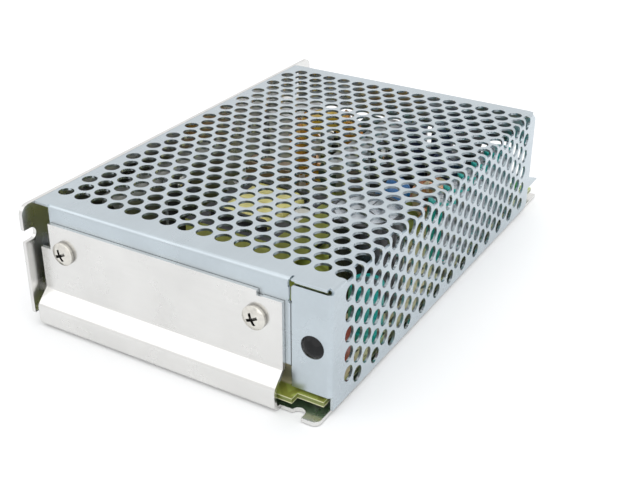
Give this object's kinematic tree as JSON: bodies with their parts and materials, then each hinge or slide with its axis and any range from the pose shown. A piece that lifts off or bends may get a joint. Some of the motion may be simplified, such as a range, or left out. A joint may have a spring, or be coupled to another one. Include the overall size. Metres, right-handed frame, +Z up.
{
  "type": "enclosed switching power supply",
  "caption": "Enclosed switching power supply: flared sheet chassis, perforated folded cover, fitted circuit board and a row of screw terminals.",
  "frame": {"origin": "middle of the bounding box, at the underside of the chassis floor", "axes": "+Z up from the mounting floor, +Y along the length towards the screw terminals, +X across towards the perforated cover wall"},
  "size_m": [0.098, 0.159, 0.038],
  "materials": {
    "cover_sheet": "zinc-plated satin sheet",
    "chassis_sheet": "pale satin sheet",
    "bright_steel": "nickel-plated",
    "black_plastic": "glossy moulded",
    "board": "lacquered laminate",
    "clear_sheet": "matt insulating sheet",
    "terminal_plastic": "matt moulded",
    "tinned_metal": "tinned",
    "ferrite": "dull ceramic grey",
    "bobbin_plastic": "matt moulded",
    "tape": "wrapped tape",
    "ivory_plastic": "matt moulded",
    "copper_wire": "lacquered wire",
    "sleeve_green": "shrunk sleeve with bare metal top",
    "sleeve_dark": "shrunk sleeve with bare metal top",
    "grey_plastic": "moulded box",
    "blue_coating": "dipped coating",
    "tan_coating": "dipped box",
    "red_coating": "dipped coating",
    "fuse_glass": "clear tube with metal caps",
    "dark_coating": "dipped coating",
    "sink_metal": "plain plate",
    "device_plastic": "moulded package",
    "pad_rubber": "silicone sheet",
    "ring_iron": "painted powder core",
    "white_plastic": "matt moulded",
    "resistor_coating": "lacquered",
    "lamp_plastic": "tinted clear"
  },
  "bodies": {
    "supply": {"chassis": "chassis_sheet", "cover": "cover_sheet", "cover_screws": "bright_steel", "snap_rivet": "black_plastic", "pcb": "board", "insulation_sheet": "clear_sheet", "pcb_standoffs": "bright_steel", "pcb_screws": "bright_steel", "earth_bracket": "tinned_metal", "terminal_block": "terminal_plastic", "terminal_contacts": "tinned_metal", "transformer_core": "ferrite", "transformer_bobbin": "bobbin_plastic", "transformer_winding": "tape", "line_choke_core": "ring_iron", "line_choke_stand": "ivory_plastic", "line_choke_windings": "copper_wire", "bulk_capacitor": "sleeve_green", "output_capacitors": "sleeve_green", "near_capacitor": "sleeve_green", "box_capacitor": "grey_plastic", "disc_capacitors": "blue_coating", "film_capacitor": "tan_coating", "snubber_capacitor": "red_coating", "small_capacitors": "sleeve_dark", "fuse": "fuse_glass", "fuse_clips": "tinned_metal", "thermistor": "dark_coating", "varistor": "dark_coating", "bridge_rectifier": "device_plastic", "primary_heatsink": "sink_metal", "switch_transistor": "device_plastic", "secondary_heatsink": "sink_metal", "output_diodes": "device_plastic", "insulating_pads": "pad_rubber", "heatsink_screws": "bright_steel", "ring_choke_core": "ring_iron", "ring_choke_winding": "copper_wire", "drum_choke": "ferrite", "controller": "device_plastic", "optocoupler": "white_plastic", "resistors": "resistor_coating", "rectifier_diodes": "device_plastic", "trimmer_body": "blue_coating", "indicator_lamp": "lamp_plastic"},
    "terminal_1": {"terminal_screw_1": "bright_steel", "terminal_clamp_1": "tinned_metal"},
    "terminal_2": {"terminal_screw_2": "bright_steel", "terminal_clamp_2": "tinned_metal"},
    "terminal_3": {"terminal_screw_3": "bright_steel", "terminal_clamp_3": "tinned_metal"},
    "terminal_4": {"terminal_screw_4": "bright_steel", "terminal_clamp_4": "tinned_metal"},
    "terminal_5": {"terminal_screw_5": "bright_steel", "terminal_clamp_5": "tinned_metal"},
    "terminal_6": {"terminal_screw_6": "bright_steel", "terminal_clamp_6": "tinned_metal"},
    "terminal_7": {"terminal_screw_7": "bright_steel", "terminal_clamp_7": "tinned_metal"},
    "trimmer_knob": {"trimmer_rotor": "white_plastic"}
  },
  "joints": [
    {"name": "terminal_1_lift", "type": "slide", "parent": "supply", "child": "terminal_1", "axis": [0, 0, 1], "range_m": [0, 0.003]},
    {"name": "terminal_2_lift", "type": "slide", "parent": "supply", "child": "terminal_2", "axis": [0, 0, 1], "range_m": [0, 0.003]},
    {"name": "terminal_3_lift", "type": "slide", "parent": "supply", "child": "terminal_3", "axis": [0, 0, 1], "range_m": [0, 0.003]},
    {"name": "terminal_4_lift", "type": "slide", "parent": "supply", "child": "terminal_4", "axis": [0, 0, 1], "range_m": [0, 0.003]},
    {"name": "terminal_5_lift", "type": "slide", "parent": "supply", "child": "terminal_5", "axis": [0, 0, 1], "range_m": [0, 0.003]},
    {"name": "terminal_6_lift", "type": "slide", "parent": "supply", "child": "terminal_6", "axis": [0, 0, 1], "range_m": [0, 0.003]},
    {"name": "terminal_7_lift", "type": "slide", "parent": "supply", "child": "terminal_7", "axis": [0, 0, 1], "range_m": [0, 0.003]},
    {"name": "trimmer_turn", "type": "hinge", "parent": "supply", "child": "trimmer_knob", "pos_m": [0.0355, 0.0715, 0.0088], "axis": [0, 0, 1], "range_deg": [-130, 130]}
  ]
}
